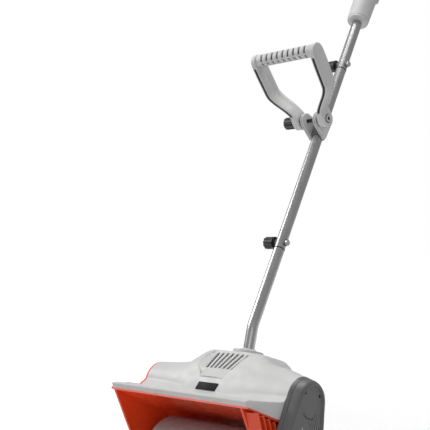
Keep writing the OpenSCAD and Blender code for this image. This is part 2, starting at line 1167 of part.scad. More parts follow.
module battery_cells() {
    cell_r = 10.4;
    color("steelblue")
        at_tube()
            for (i = [0:4])
                translate([0, battery_y + (i - 2) * 21, battery_s + 18])
                    bar_x(cell_r, -35, 35);
}

module battery_latch() {
    y0 = battery_y - battery_l / 2;
    color("orangered")
        at_tube()
            translate([-7.6, y0 - 3, battery_s + 8.4])
                cube([15.2, 4, 15.2]);
}

scoop_shell();
left_side_wall();
right_side_wall();
scraper_bar();
scraper_screws();
top_cover();
rear_cover();
badge_plate();
tube_socket();
socket_screws();
belt_case();
belt_cover();
cover_screws();
motor_can();
motor_end_bell();
motor_mount();
motor_screws();
motor_shaft();
motor_fan();
shaft_bearing();
motor_pulley();
drive_belt();
rotor_pulley();
rotor_shaft();
rotor_drum();
rotor_paddles();
rotor_bearings();
pulley_nut();
lower_tube();
middle_tube();
upper_tube();
joint_sleeves();
joint_rings();
joint_saddles();
joint_bolts();
lower_joint_knob();
upper_joint_knob();
wiring_cable();
clamp_left();
clamp_right();
clamp_sleeve();
tooth_washers();
pivot_bolt();
pivot_knob();
front_handle_frame();
front_grip_bands();
front_arm_trims();
rear_shell_left();
rear_shell_right();
neck_collar();
shell_screws();
trigger();
trigger_pin();
trigger_spring();
switch_module();
lock_off_button();
terminal_block();
battery_case();
battery_cells();
battery_latch();
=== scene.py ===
"""Looks of the cordless snow blower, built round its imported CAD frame."""
import json
import math

import bmesh
import bpy
from mathutils import Matrix, Vector


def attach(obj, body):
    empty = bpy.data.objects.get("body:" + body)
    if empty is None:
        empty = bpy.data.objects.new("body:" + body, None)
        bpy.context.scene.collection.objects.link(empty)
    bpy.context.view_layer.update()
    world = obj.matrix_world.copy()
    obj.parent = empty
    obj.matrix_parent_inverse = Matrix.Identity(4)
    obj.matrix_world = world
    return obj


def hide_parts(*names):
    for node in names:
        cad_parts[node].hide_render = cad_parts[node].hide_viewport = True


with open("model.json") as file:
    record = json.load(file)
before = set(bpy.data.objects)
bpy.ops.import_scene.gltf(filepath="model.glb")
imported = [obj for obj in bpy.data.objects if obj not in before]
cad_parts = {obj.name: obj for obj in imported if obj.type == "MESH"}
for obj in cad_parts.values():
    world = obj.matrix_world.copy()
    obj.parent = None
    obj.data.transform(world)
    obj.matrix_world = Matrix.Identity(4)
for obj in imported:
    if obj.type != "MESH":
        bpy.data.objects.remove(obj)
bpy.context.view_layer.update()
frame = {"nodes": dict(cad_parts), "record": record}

# ---------------------------------------------------------------- places and sizes, in millimetres

MM = 0.001
TUBE_TILT = math.radians(46.4)
STUB_TILT = math.radians(33.0)
SEAT = Vector((0.0, 135.5, 219.9))
STUB_DIR = Vector((0.0, math.sin(STUB_TILT), math.cos(STUB_TILT)))
BEND = SEAT + 50.0 * STUB_DIR
MOTOR_C = (47.0, 178.0)
ROTOR_C = (-23.0, 82.0)
SHOULDER_R = 40.0
LIP_Y = -70.0
LIP_Z = 220.0
HALF_W = 170.0
CASE_X = 185.0
BODY_BACK = MOTOR_C[0] + SHOULDER_R
JOINTS_S = (168.0, 613.0)
TUBE_IN = 38.0
ELBOW_R = 85.0
PIVOT_S = 457.0
TUBE_R = 11.0
GRIP_H = 150.0
ARM_X = 76.0
HANDLE_TILT = math.radians(17.5)

joints = {j["name"]: j for j in frame["record"]["behaviour"]["joints"]}


def axes(origin, y_axis, z_axis):
    """A frame in millimetres whose X is the product's X."""
    m = Matrix.Identity(4)
    for column, v in enumerate((Vector((1, 0, 0)), Vector(y_axis), Vector(z_axis), Vector(origin))):
        for row in range(3):
            m[row][column] = v[row]
    return m


def leaning(origin, tilt):
    return axes(origin, (0, math.cos(tilt), -math.sin(tilt)), (0, math.sin(tilt), math.cos(tilt)))


WORLD = Matrix.Identity(4)
STUB = leaning(SEAT, STUB_TILT)
TUBE = leaning(BEND, TUBE_TILT)
PIVOT = Vector(joints["front_handle_tilt"]["pos_m"]) / MM
HANDLE = leaning(PIVOT, -HANDLE_TILT)

# ---------------------------------------------------------------- mesh helpers


def make_mesh(name, verts, faces, place=WORLD):
    mesh = bpy.data.meshes.new(name)
    mesh.from_pydata([(place @ Vector(v)) * MM for v in verts], [], faces)
    work = bmesh.new()
    work.from_mesh(mesh)
    bmesh.ops.remove_doubles(work, verts=work.verts, dist=1e-7)
    bmesh.ops.recalc_face_normals(work, faces=work.faces)
    work.to_mesh(mesh)
    work.free()
    obj = bpy.data.objects.new(name, mesh)
    bpy.context.collection.objects.link(obj)
    return obj


def bake(obj, sharp_deg=35):
    """Applies the modifiers, then shades smooth with sharp edges over an angle."""
    bpy.context.view_layer.update()
    graph = bpy.context.evaluated_depsgraph_get()
    mesh = bpy.data.meshes.new_from_object(obj.evaluated_get(graph))
    obj.modifiers.clear()
    obj.data = mesh
    for p in mesh.polygons:
        p.use_smooth = True
    mesh.set_sharp_from_angle(angle=math.radians(sharp_deg))
    return obj


def bevel(obj, width, segments=3, angle=30):
    mod = obj.modifiers.new("bevel", "BEVEL")
    mod.width = width * MM
    mod.segments = segments
    mod.limit_method = "ANGLE"
    mod.angle_limit = math.radians(angle)
    mod.use_clamp_overlap = True
    return obj


def thicken(obj, thickness, offset=-1):
    mod = obj.modifiers.new("thickness", "SOLIDIFY")
    mod.thickness = thickness * MM
    mod.offset = offset
    return obj


def subdivide(obj, levels=2):
    mod = obj.modifiers.new("subdivide", "SUBSURF")
    mod.levels = levels
    mod.render_levels = levels
    return obj


def cut(obj, tool, solver="EXACT"):
    """Takes tool's shape out of obj and removes tool."""
    mod = obj.modifiers.new("cut", "BOOLEAN")
    mod.operation = "DIFFERENCE"
    mod.solver = solver
    mod.object = tool
    bake(obj)
    bpy.data.objects.remove(tool)
    return obj


def join(name, parts):
    """Joins loose parts into one object."""
    work = bmesh.new()
    for part in parts:
        work.from_mesh(part.data)
    mesh = bpy.data.meshes.new(name)
    work.to_mesh(mesh)
    work.free()
    for part in parts:
        bpy.data.objects.remove(part)
    obj = bpy.data.objects.new(name, mesh)
    bpy.context.collection.objects.link(obj)
    return obj


def arc(c, r, a0, a1, n):
    """Points on an arc about c, with angles in degrees."""
    angles = [math.radians(a0 + (a1 - a0) * i / n) for i in range(n + 1)]
    return [(c[0] + r * math.cos(a), c[1] + r * math.sin(a)) for a in angles]


def prism(name, outline, x0, x1, place=WORLD):
    """A side view, as (y, z) points, extruded from x0 to x1."""
    n = len(outline)
    verts = [(x, y, z) for x in (x0, x1) for y, z in outline]
    faces = [tuple(range(n)), tuple(range(2 * n - 1, n - 1, -1))]
    faces += [(i, (i + 1) % n, n + (i + 1) % n, n + i) for i in range(n)]
    return make_mesh(name, verts, faces, place)


def ring_at(x, outline):
    """The points of a side view, given as (y, z), at x."""
    return [(x, y, z) for y, z in outline]


def loft(name, rings, place=WORLD, closed=True, caps=True):
    """Quads between rings that have the same number of points."""
    n = len(rings[0])
    verts = [p for ring in rings for p in ring]
    faces = []
    for r in range(len(rings) - 1):
        for i in range(n if closed else n - 1):
            j = (i + 1) % n
            faces.append((r * n + i, r * n + j, (r + 1) * n + j, (r + 1) * n + i))
    if caps:
        faces.append(tuple(range(n)))
        faces.append(tuple((len(rings) - 1) * n + i for i in reversed(range(n))))
    return make_mesh(name, verts, faces, place)


def turned(name, profile, place=WORLD, axis="Z", steps=48, closed=False):
    """A body of revolution: profile is (radius, height) points."""
    rings = []
    for r, h in profile:
        ring = []
        for i in range(steps):
            a = 2 * math.pi * i / steps
            u, v = r * math.cos(a), r * math.sin(a)
            ring.append((u, v, h) if axis == "Z" else (h, u, v))
        rings.append(ring)
    if closed:
        rings.append(rings[0])
    return loft(name, rings, place, caps=not closed)


def ease(t):
    t = min(1.0, max(0.0, t))
    return t * t * (3 - 2 * t)


def lerp(a, b, t):
    return tuple(p + (q - p) * t for p, q in zip(a, b))


def resample(points, n):
    """n + 1 points spaced evenly along a polyline."""
    lengths = [0.0]
    for a, b in zip(points, points[1:]):
        lengths.append(lengths[-1] + math.dist(a, b))
    out = []
    k = 0
    for i in range(n + 1):
        s = lengths[-1] * i / n
        while k < len(points) - 2 and lengths[k + 1] < s:
            k += 1
        span = lengths[k + 1] - lengths[k]
        out.append(lerp(points[k], points[k + 1], (s - lengths[k]) / span if span else 0.0))
    return out


def curve_through(points, n=8):
    """A smooth curve through points, with n steps between each two."""
    out = []
    for i in range(len(points) - 1):
        p0 = points[max(i - 1, 0)]
        p1, p2 = points[i], points[i + 1]
        p3 = points[min(i + 2, len(points) - 1)]
        for k in range(n):
            t = k / n
            out.append(tuple(
                0.5 * (2 * b + (c - a) * t + (2 * a - 5 * b + 4 * c - d) * t * t
                       + (3 * b - a - 3 * c + d) * t ** 3)
                for a, b, c, d in zip(p0, p1, p2, p3)
            ))
    out.append(tuple(points[-1]))
    return out


# ---------------------------------------------------------------- materials


def tree_for(name):
    material = bpy.data.materials.new(name)
    material.use_nodes = True
    tree = material.node_tree
    tree.nodes.clear()
    out = tree.nodes.new("ShaderNodeOutputMaterial")
    shader = tree.nodes.new("ShaderNodeBsdfPrincipled")
    tree.links.new(shader.outputs[0], out.inputs[0])
    return material, tree, shader


def noise(tree, scale, detail=3.0, stretch=(1, 1, 1), turn=0.0):
    place = tree.nodes.new("ShaderNodeTexCoord")
    mapping = tree.nodes.new("ShaderNodeMapping")
    mapping.inputs["Rotation"].default_value = (turn, 0, 0)
    mapping.inputs["Scale"].default_value = stretch
    field = tree.nodes.new("ShaderNodeTexNoise")
    field.inputs["Scale"].default_value = scale
    field.inputs["Detail"].default_value = detail
    tree.links.new(place.outputs["Object"], mapping.inputs[0])
    tree.links.new(mapping.outputs[0], field.inputs["Vector"])
    return field.outputs[0]


def remap(tree, value, low, high):
    node = tree.nodes.new("ShaderNodeMapRange")
    node.inputs["From Min"].default_value = 0.3
    node.inputs["From Max"].default_value = 0.7
    node.inputs["To Min"].default_value = low
    node.inputs["To Max"].default_value = high
    tree.links.new(value, node.inputs["Value"])
    return node.outputs[0]


def blend_colours(tree, value, first, second):
    ramp = tree.nodes.new("ShaderNodeValToRGB")
    ramp.color_ramp.elements[0].position = 0.32
    ramp.color_ramp.elements[0].color = (*first, 1)
    ramp.color_ramp.elements[1].position = 0.68
    ramp.color_ramp.elements[1].color = (*second, 1)
    tree.links.new(value, ramp.inputs[0])
    return ramp.outputs[0]


def add_bump(tree, shader, value, strength, distance):
    bump = tree.nodes.new("ShaderNodeBump")
    bump.inputs["Strength"].default_value = strength
    bump.inputs["Distance"].default_value = distance
    tree.links.new(value, bump.inputs["Height"])
    tree.links.new(bump.outputs[0], shader.inputs["Normal"])


def shade(colour, factor):
    return tuple(min(1.0, c * factor) for c in colour)


def plastic(name, colour, rough=0.42, grain=1500, bump=0.12, tone=0.04, coat=0.0, coat_ior=1.5,
            specular=0.5):
    """Moulded plastic: spark-eroded grain, slight tone drift and uneven gloss."""
    material, tree, shader = tree_for(name)
    drift = noise(tree, 14, 2)
    base = blend_colours(tree, drift, shade(colour, 1 - tone), shade(colour, 1 + tone))
    tree.links.new(base, shader.inputs["Base Color"])
    gloss = remap(tree, noise(tree, 60, 4), rough - 0.05, rough + 0.07)
    tree.links.new(gloss, shader.inputs["Roughness"])
    add_bump(tree, shader, noise(tree, grain, 2), bump, 0.0002)
    shader.inputs["Coat Weight"].default_value = coat
    shader.inputs["Coat Roughness"].default_value = 0.12
    shader.inputs["Coat IOR"].default_value = coat_ior
    shader.inputs["Specular IOR Level"].default_value = specular
    return material


def metal(name, colour, rough=0.3, stretch=(1, 1, 1), turn=0.0, grain=500, bump=0.05, tone=0.06):
    """Drawn or plated metal: fine lines along stretch and a little tarnish."""
    material, tree, shader = tree_for(name)
    lines = noise(tree, grain, 3, stretch, turn)
    base = blend_colours(tree, noise(tree, 22, 3), shade(colour, 1 - tone), shade(colour, 1 + tone))
    tree.links.new(base, shader.inputs["Base Color"])
    tree.links.new(remap(tree, lines, rough - 0.06, rough + 0.08), shader.inputs["Roughness"])
    add_bump(tree, shader, lines, bump, 0.0001)
    shader.inputs["Metallic"].default_value = 1.0
    return material


def rubber(name, colour, rough=0.62, grain=900, tone=0.08):
    """Soft elastomer: dusty tone drift and a matte pebbled surface."""
    material, tree, shader = tree_for(name)
    base = blend_colours(tree, noise(tree, 35, 4), shade(colour, 1 - tone), shade(colour, 1 + tone))
    tree.links.new(base, shader.inputs["Base Color"])
    gloss = remap(tree, noise(tree, 120, 3), rough - 0.06, rough + 0.08)
    tree.links.new(gloss, shader.inputs["Roughness"])
    add_bump(tree, shader, noise(tree, grain, 2), 0.25, 0.0002)
    shader.inputs["Specular IOR Level"].default_value = 0.4
    return material


LIGHT = plastic("light_gray_plastic", (0.54, 0.535, 0.53), 0.42)
LIGHT_B = plastic("light_gray_handle", (0.57, 0.565, 0.56), 0.42, grain=1800)
ORANGE = plastic("orange_plastic", (0.74, 0.058, 0.010), 0.40, tone=0.07)
SCOOP = plastic("orange_gloss_plastic", (0.88, 0.07, 0.016), 0.30, bump=0.04, tone=0.07,
                coat=1.0, coat_ior=1.8)
DARK = plastic("dark_gray_plastic", (0.105, 0.105, 0.108), 0.45, bump=0.2)
DARK_RIM = plastic("dark_gray_rim", (0.15, 0.15, 0.152), 0.42)
BLACK = plastic("black_plastic", (0.018, 0.018, 0.019), 0.38)
BADGE = plastic("badge_black", (0.006, 0.006, 0.007), 0.6, bump=0.05, specular=0.25)
WHITE = plastic("white_plastic", (0.64, 0.64, 0.64), 0.36)
# Painted shade: a grey darker than the housing, for the sheet behind the vent slots so that the
# slots read as shaded.
SLOT_SHADE = plastic("vent_slot_painted_shade", (0.30, 0.30, 0.30), 0.5)
DRIVE = plastic("drive_plastic", (0.12, 0.12, 0.12), 0.5)
CELLS = plastic("cell_wrap", (0.05, 0.17, 0.33), 0.3, tone=0.1)
TUBE_METAL = metal("tube_metal", (0.47, 0.47, 0.47), 0.30, (1, 1, 0.02), -TUBE_TILT, 700)
STEEL = metal("zinc_steel", (0.62, 0.62, 0.63), 0.28)
BLACK_STEEL = metal("black_steel", (0.05, 0.05, 0.052), 0.4)
ALLOY = metal("cast_alloy", (0.55, 0.55, 0.56), 0.45, grain=250, bump=0.3)
SOFT = rubber("soft_grip", (0.035, 0.035, 0.036))
PADDLE = rubber("paddle_rubber", (0.27, 0.26, 0.265), 0.42, grain=500)
BELT = rubber("belt_rubber", (0.02, 0.02, 0.02))

CAD_LOOKS = {
    "orange_plastic": ORANGE, "light_plastic": LIGHT, "dark_plastic": DARK, "black_plastic": BLACK,
    "soft_grip": SOFT, "paddle_rubber": PADDLE, "tube_metal": TUBE_METAL, "steel": STEEL,
    "drive_plastic": DRIVE, "black_steel": BLACK_STEEL, "alloy": ALLOY, "belt_rubber": BELT,
    "cable_jacket": BLACK, "battery_white": WHITE, "battery_latch_plastic": ORANGE,
    "cell_wrap": CELLS,
}
SLOTS = {s["node"]: s["material_slot"] for s in frame["record"]["subparts"]}
BODY_OF = {n: b for b, nodes in frame["record"]["behaviour"]["bodies"].items() for n in nodes}


def dress(obj, material):
    obj.data.materials.clear()
    obj.data.materials.append(material)
    return obj


def dress_cad():
    """Gives every CAD node its procedural material."""
    for name, obj in frame["nodes"].items():
        look = SCOOP if name == "scoop_shell" else CAD_LOOKS[SLOTS[name]]
        for slot in obj.material_slots:
            slot.material = look


def piece(obj, node, material, replaces=True):
    """Dresses a piece, lets it ride on its node's body, and may stand it in for the node."""
    dress(obj, material)
    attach(obj, BODY_OF[node])
    if replaces:
        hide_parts(node)
    return obj


# ---------------------------------------------------------------- camera, floor and light


def camera():
    cam = bpy.data.objects.new("camera", bpy.data.cameras.new("camera"))
    bpy.context.collection.objects.link(cam)
    cam.data.lens = 76.0
    cam.data.sensor_width = 36.0
    cam.data.clip_end = 50.0
    cam.location = (1.158, -1.0475, 0.7844)
    aim = Vector((-0.6912, 0.7013, -0.1742))
    roll = math.radians(-12.54)
    turn = aim.to_track_quat("-Z", "Y").to_matrix() @ Matrix.Rotation(roll, 3, "Z")
    cam.rotation_euler = turn.to_euler()
    bpy.context.scene.camera = cam


def area_light(name, place, aim, size, power):
    lamp = bpy.data.lights.new(name, "AREA")
    lamp.shape = "RECTANGLE"
    lamp.size, lamp.size_y = size
    lamp.energy = power
    obj = bpy.data.objects.new(name, lamp)
    bpy.context.collection.objects.link(obj)
    obj.location = place
    obj.rotation_euler = (Vector(aim) - Vector(place)).to_track_quat("-Z", "Y").to_euler()


def world_light():
    world = bpy.data.worlds.new("studio")
    bpy.context.scene.world = world
    world.use_nodes = True
    tree = world.node_tree
    tree.nodes.clear()
    out = tree.nodes.new("ShaderNodeOutputWorld")
    mix = tree.nodes.new("ShaderNodeMixShader")
    path = tree.nodes.new("ShaderNodeLightPath")
    soft = tree.nodes.new("ShaderNodeBackground")
    soft.inputs[0].default_value = (0.84, 0.84, 0.85, 1)
    soft.inputs[1].default_value = 0.46
    seen = tree.nodes.new("ShaderNodeBackground")
    seen.inputs[0].default_value = (1, 1, 1, 1)
    seen.inputs[1].default_value = 1.0
    tree.links.new(path.outputs["Is Camera Ray"], mix.inputs[0])
    tree.links.new(soft.outputs[0], mix.inputs[1])
    tree.links.new(seen.outputs[0], mix.inputs[2])
    tree.links.new(mix.outputs[0], out.inputs[0])


def floor():
    """A plain pale floor that fades into the white background far out."""
    radius = 6000.0
    rings = [[(r * math.cos(a), r * math.sin(a), -0.5) for a in
              (2 * math.pi * i / 64 for i in range(64))] for r in (1.0, 700.0, 2000.0, radius)]
    obj = loft("floor", rings, caps=False)
    material, tree, shader = tree_for("pale_floor")
    base = blend_colours(tree, noise(tree, 3, 2), (0.90, 0.90, 0.90), (0.93, 0.93, 0.93))
    tree.links.new(base, shader.inputs["Base Color"])
    shader.inputs["Roughness"].default_value = 0.7
    out = next(n for n in tree.nodes if n.type == "OUTPUT_MATERIAL")
    place = tree.nodes.new("ShaderNodeTexCoord")
    reach = tree.nodes.new("ShaderNodeVectorMath")
    reach.operation = "LENGTH"
    fade = tree.nodes.new("ShaderNodeMapRange")
    fade.inputs["From Min"].default_value = 0.5
    fade.inputs["From Max"].default_value = 1.7
    clear = tree.nodes.new("ShaderNodeBsdfTransparent")
    mix = tree.nodes.new("ShaderNodeMixShader")
    tree.links.new(place.outputs["Object"], reach.inputs[0])
    tree.links.new(reach.outputs["Value"], fade.inputs["Value"])
    tree.links.new(fade.outputs[0], mix.inputs[0])
    tree.links.new(shader.outputs[0], mix.inputs[1])
    tree.links.new(clear.outputs[0], mix.inputs[2])
    tree.links.new(mix.outputs[0], out.inputs[0])
    dress(obj, material)


def studio():
    camera()
    world_light()
    floor()
    area_light("key", (-2.4, -0.5, 2.4), (0.0, 0.2, 0.3), (1.4, 1.4), 46)
    area_light("fill", (1.8, -2.0, 1.2), (0.0, 0.2, 0.3), (1.4, 1.4), 10)
    area_light("top", (-0.1, 1.2, 2.9), (0.0, 0.3, 0.4), (1.8, 1.2), 54)
    bpy.context.scene.view_settings.view_transform = "Standard"


# ---------------------------------------------------------------- housing

# Share of the hump's shape at places across the width
HUMP_SHARE = [(-165, 0.0), (-125, 0.08), (-92, 0.2), (-84, 0.3), (-58, 0.97), (-50, 1.0), (25, 1.0),
              (62, 0.97), (78, 0.86), (90, 0.70), (100, 0.54), (110, 0.45), (122, 0.41), (140, 0.35),
              (160, 0.22),
              (176, 0.09), (186, 0.04)]
BODY_ROWS = 56
PANEL_ROWS = 6
VALLEY = (-3.0, 197.6)


def along(table, x):
    """Value at x on a smooth curve through (x, value) points."""
    if x <= table[0][0]:
        return table[0][1]
    for (x0, v0), (x1, v1) in zip(table, table[1:]):
        if x <= x1:
            t = (x - x0) / (x1 - x0)
            return v0 + (v1 - v0) * (0.6 * t + 0.4 * ease(t))
    return table[-1][1]


def front_panel(x):
    """The lip and the panel behind it, as (y, z) from the lip's lower edge to the valley."""
    out = max(0.0, min(1.0, (x - HALF_W) / (CASE_X - HALF_W)))
    lip = [(LIP_Y, LIP_Z), (LIP_Y, LIP_Z + 7.6), (LIP_Y + 0.9, LIP_Z + 8.8),
           (LIP_Y + 9.0, LIP_Z + 7.2)]
    side = [(-13.0, 170.5), (-1.0, 190.0), (1.0, 192.5), (3.0, 195.0)]
    valley = lerp(VALLEY, (5.0, 198.0), out)
    edge = [lerp(a, b, out) for a, b in zip(lip, side)]
    return edge + [lerp(edge[-1], valley, (i + 1) / PANEL_ROWS) for i in range(PANEL_ROWS)]


def shoulder_line():
    line = [(11.5, 200.9)] + arc(MOTOR_C, SHOULDER_R + 1.0, 144, 0, 30) + [(BODY_BACK, 150.0)]
    return resample(line, BODY_ROWS)


def hump_line():
    rise = [(5.0, 197.0), (16.0, 207.6), (26.5, 215.4), (38, 224.6), (50, 231.4), (66, 235.4),
            (86, 236.9), (99, 235.6)]
    back = [(104, 232.9), (135.5, 212.7), (158, 198.0), (166, 191.0), (169, 183), (168, 170)]
    return resample(curve_through(rise, 6) + curve_through(back, 5), BODY_ROWS)


SHOULDER_LINE = shoulder_line()
HUMP_LINE = hump_line()


def body_line(x):
    w = along(HUMP_SHARE, x)
    return [lerp(a, b, w) for a, b in zip(SHOULDER_LINE, HUMP_LINE)]


def columns():
    xs = [-164.8, -162.0]
    while xs[-1] < CASE_X - 4.2:
        xs.append(xs[-1] + 3.0)
    return sorted(xs + [HALF_W, CASE_X - 0.2])


# Sunk vent panel: distance from the front, floor height, half width of the floor and of the rim
VENT_PANEL = [(25.0, 215.2, 29.0, 30.0), (38.0, 218.2, 31.0, 40.0), (52.0, 221.2, 33.5, 47.5),
              (68.0, 224.8, 35.5, 49.5), (84.0, 228.0, 37.5, 50.5), (95.0, 230.2, 39.0, 50.0),
              (100.0, 233.6, 44.0, 48.0)]
VENT_COUNT = 7
SLOT_W = 5.6
# How far the painted-shade sheet sits below the vent panel's floor.
SLOT_SHADE_DEPTH = 3.8


def rim_height(y):
    """Height of the hump over the point at distance y from the front."""
    for (y0, z0), (y1, z1) in zip(HUMP_LINE, HUMP_LINE[1:]):
        if y0 <= y <= y1:
            return z0 + (z1 - z0) * (y - y0) / (y1 - y0)
    return HUMP_LINE[0][1]


def vent_tool():
    rings = []
    for y, floor_z, half_floor, half_rim in VENT_PANEL:
        rise = max(1.5, rim_height(y) - floor_z)
        lift = 14.0
        wide = half_floor + (half_rim - half_floor) * lift / rise
        wide = min(wide, half_rim + 12.0)
        rings.append([(-wide, y, floor_z + lift), (-half_floor, y, floor_z - 0.2),
                      (half_floor, y, floor_z - 0.2), (wide, y, floor_z + lift)])
    first, last = rings[0], rings[-1]
    rings.insert(0, [(p[0], p[1] - 4.0, p[2] + (3.0 if i in (1, 2) else 0))
                     for i, p in enumerate(first)])
    rings.append([(p[0], p[1] + 5.0, p[2] + 5.0) for p in last])
    return loft("tool", rings)


def vent_liner():
    """Floor and side walls of the sunk vent panel, with its seven slots."""
    rings = []
    for y, floor_z, half_floor, half_rim in VENT_PANEL:
        top = rim_height(y) - 0.3
        crown = [(half_floor * k / 4, y, floor_z + 1.2 * (1 - (k / 4) ** 2)) for k in (-2, 0, 2)]
        rings.append([(-half_rim, y, top), (-half_floor, y, floor_z)] + crown
                     + [(half_floor, y, floor_z), (half_rim, y, top)])
    obj = loft("vent_panel", rings, closed=False, caps=False)
    thicken(obj, 2.4, -1)
    bake(obj, 28)
    for i in range(VENT_COUNT):
        share = i / (VENT_COUNT - 1) * 2 - 1
        low, high = 31.0 * share, 37.0 * share
        verts = []
        for y, x in ((50.0, low), (96.0, high)):
            for side in (-SLOT_W / 2, SLOT_W / 2):
                for z in (205.0, 246.0):
                    verts.append((x + side, y, z))
        faces = [(0, 1, 3, 2), (4, 6, 7, 5), (0, 4, 5, 1), (2, 3, 7, 6), (0, 2, 6, 4), (1, 5, 7, 3)]
        cut(obj, make_mesh("tool", verts, faces))
    # Painted shade: a darker grey sheet set just under the slots stands in for the shade inside
    # them.
    shade_sheet = loft("vent_slot_shade_sheet", [[(-half, y, z - SLOT_SHADE_DEPTH), (half, y, z - SLOT_SHADE_DEPTH)]
                                  for y, z, half, rim in VENT_PANEL[1:6]], closed=False, caps=False)
    thicken(shade_sheet, 1.0)
    bake(shade_sheet)
    piece(shade_sheet, "top_cover", SLOT_SHADE, replaces=False)
    return piece(obj, "top_cover", LIGHT)


def top_cover():
    rings = [[(x, y, z) for y, z in front_panel(x) + body_line(x)] for x in columns()]
    obj = loft("top_cover_skin", rings, closed=False, caps=False)
    thicken(obj, 2.6)
    bake(obj, 32)
    cut(obj, vent_tool())
    bake(obj, 32)
    piece(obj, "top_cover", LIGHT)
    vent_liner()


def hood_end():
    """Closes the hood's end beside the belt case."""
    outline = front_panel(CASE_X) + body_line(CASE_X)
    obj = prism("hood_end", outline, CASE_X - 1.6, CASE_X - 0.1)
    return piece(bake(obj), "top_cover", LIGHT, replaces=False)


def rear_cover():
    low = [(76, 100), (60, 40), (55, 12)]
    flat = resample([(BODY_BACK, 149.6)] + low, 30)
    bulge = resample([(168, 169.6), (157, 150), (122, 118), (84, 104)] + low, 30)
    rings = []
    for x in columns():
        w = along(HUMP_SHARE, x)
        rings.append([(x, *lerp(a, b, w)) for a, b in zip(flat, bulge)])
    obj = loft("rear_cover_skin", rings, closed=False, caps=False)
    thicken(obj, 2.6, -1)
    bake(obj, 32)
    piece(obj, "rear_cover", LIGHT)


def left_end():
    """Orange end disc of the left shoulder, with a rounded rim."""
    rings = []
    for inset, x in ((0.0, -164.9), (0.0, -168.0), (1.0, -169.4), (2.6, -169.95)):
        outline = arc(MOTOR_C, SHOULDER_R + 0.8 - inset, 144, 0, 40)
        outline += [(BODY_BACK - inset, 152.0), (-2.0, 190.0), (-1.5, 192.5 - inset)]
        rings.append([(x, y, z) for y, z in outline])
    obj = loft("left_end_skin", rings)
    bake(obj, 40)
    return piece(obj, "left_side_wall", ORANGE, replaces=False)


def lip_edge():
    """Orange edge of the scoop under the lip and along the hood's side."""
    points = [(-HALF_W + 1.2, LIP_Y + 3.2, LIP_Z - 2.0), (HALF_W - 1.0, LIP_Y + 3.2, LIP_Z - 2.0),
              (CASE_X - 1.0, -12.0, 168.4)]
    obj = loft("lip_edge", [[(x, y - 3.0, z - 1.9), (x, y - 3.0, z + 1.9), (x, y + 3.0, z + 1.9),
                             (x, y + 3.0, z - 1.9)] for x, y, z in points])
    bevel(obj, 0.7, 2)
    bake(obj)
    return piece(obj, "scoop_shell", ORANGE, replaces=False)


def badge():
    """Plain dark badge with no marking, on the front of the hump."""
    plane = axes((0.0, 10.8, 203.0), (0, 0.70, 0.714), (0, -0.714, 0.70))
    outline = [(-26.5, -7.4), (22.0, -7.4), (26.5, 7.4), (-22.0, 7.4)]
    obj = loft("badge_skin", [[(x, y, z) for x, y in outline] for z in (-2.5, 1.4)], plane)
    bevel(obj, 0.9, 3)
    bake(obj)
    return piece(obj, "badge_plate", BADGE)


# ---------------------------------------------------------------- belt side


def lobe_outline(inset, grow=0.0):
    """Outline round both pulleys in the side view, lying inset inside the case."""
    c1, c2 = MOTOR_C, ROTOR_C
    r1, r2 = 36.0 - inset + grow, 62.0 - inset
    axis_a = math.degrees(math.atan2(c2[1] - c1[1], c2[0] - c1[0]))
    side_a = math.degrees(math.acos((r1 - r2) / math.dist(c1, c2)))
    return (arc(c1, r1, axis_a + side_a, axis_a + 360 - side_a, 40)
            + arc(c2, r2, axis_a - side_a, axis_a + side_a, 56))


def lobe_skin(name, steps):
    """Rings from (inset, extra radius at the motor, x)."""
    return loft(name, [ring_at(x, lobe_outline(inset, grow)) for inset, grow, x in steps])


COVER_SCREWS = [(36, 202), (70, 180), (-74, 68), (28, 64)]
DOTS_R = 27.5


